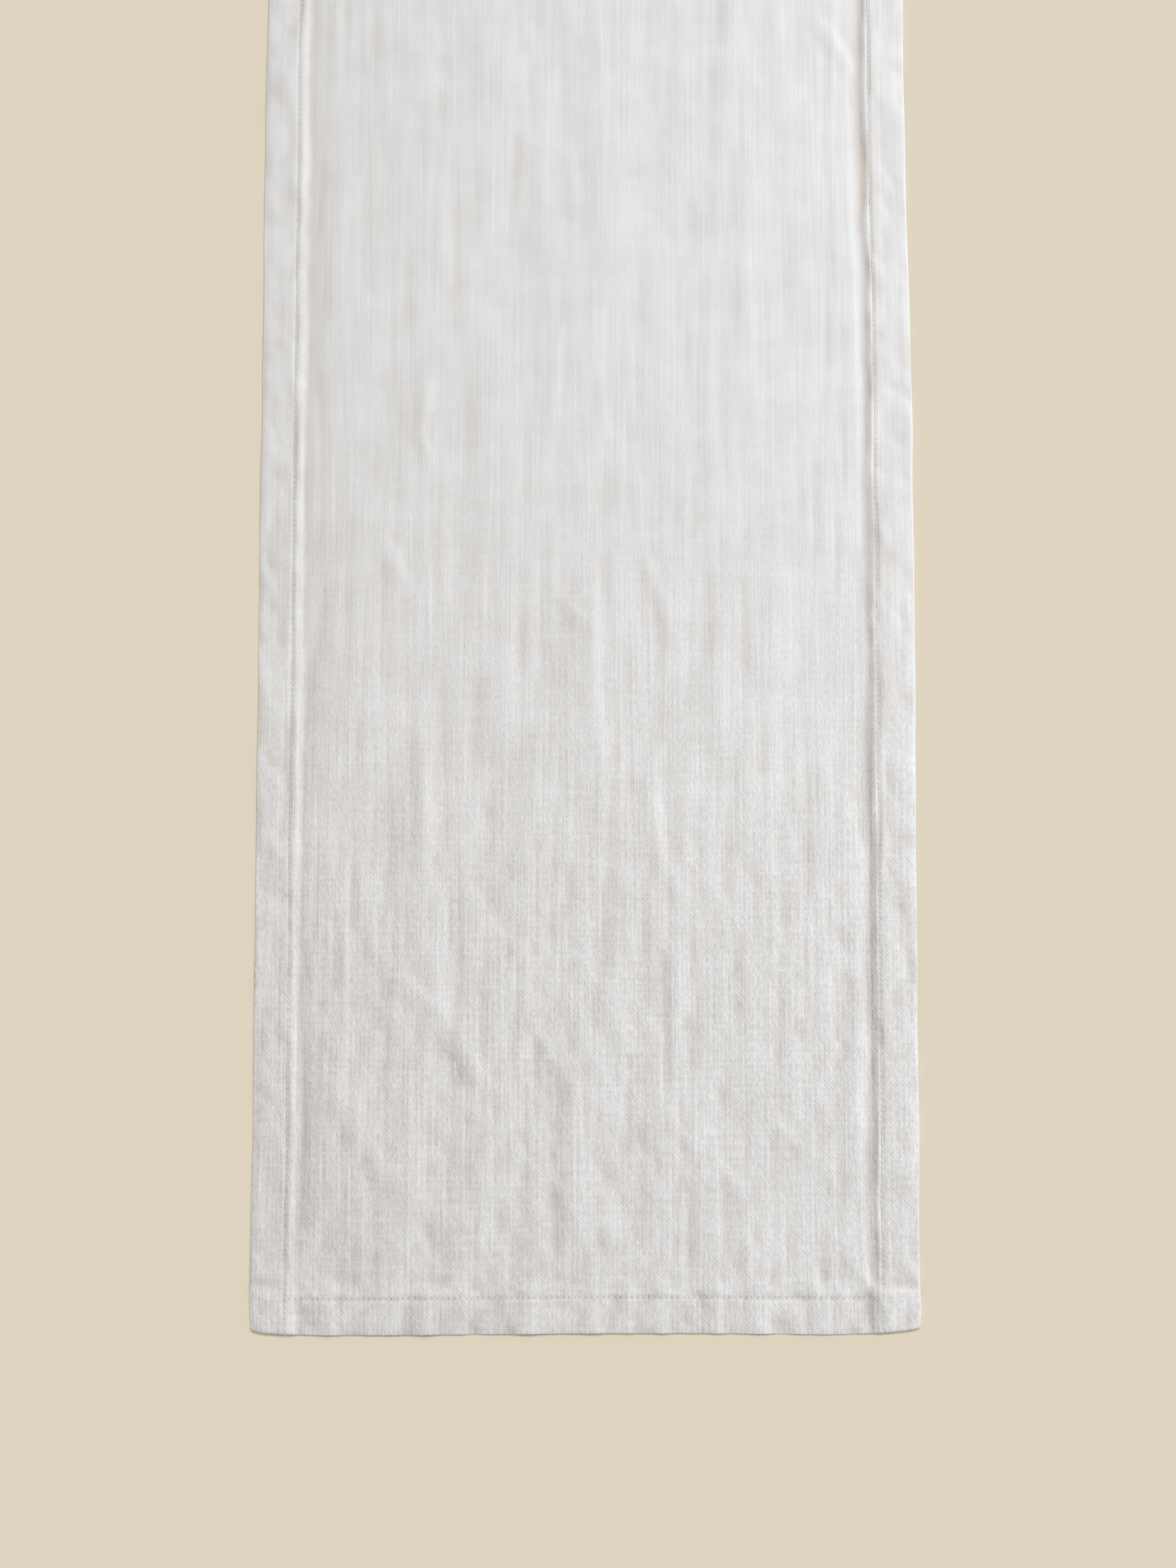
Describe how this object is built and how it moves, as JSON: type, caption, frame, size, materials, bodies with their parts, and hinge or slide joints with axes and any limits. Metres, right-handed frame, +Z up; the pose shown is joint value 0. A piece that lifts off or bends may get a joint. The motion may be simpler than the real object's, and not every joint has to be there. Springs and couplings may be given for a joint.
{
  "type": "table runner",
  "caption": "Flat rectangular linen table runner with a double-turned hem on all four edges, held down by lock-stitched seams, with thick folded corners.",
  "frame": {"origin": "centre of the runner's footprint, on the surface it lies on", "axes": "+X across the width, +Y along the length with the near end at -Y, +Z up out of the face side"},
  "size_m": [0.4, 1.5, 0.0046],
  "materials": {
    "linen_cloth": "plain-woven linen, washed, matt",
    "sewing_thread": "spun thread with a faint sheen"
  },
  "bodies": {
    "root": {"ground_cloth": "linen_cloth", "side_hem_left": "linen_cloth", "side_hem_right": "linen_cloth", "end_hem_near": "linen_cloth", "end_hem_far": "linen_cloth", "corner_near_left": "linen_cloth", "corner_near_right": "linen_cloth", "corner_far_left": "linen_cloth", "corner_far_right": "linen_cloth", "needle_thread_left": "sewing_thread", "needle_thread_right": "sewing_thread", "needle_thread_near": "sewing_thread", "needle_thread_far": "sewing_thread", "bobbin_thread_left": "sewing_thread", "bobbin_thread_right": "sewing_thread", "bobbin_thread_near": "sewing_thread", "bobbin_thread_far": "sewing_thread"}
  },
  "joints": []
}
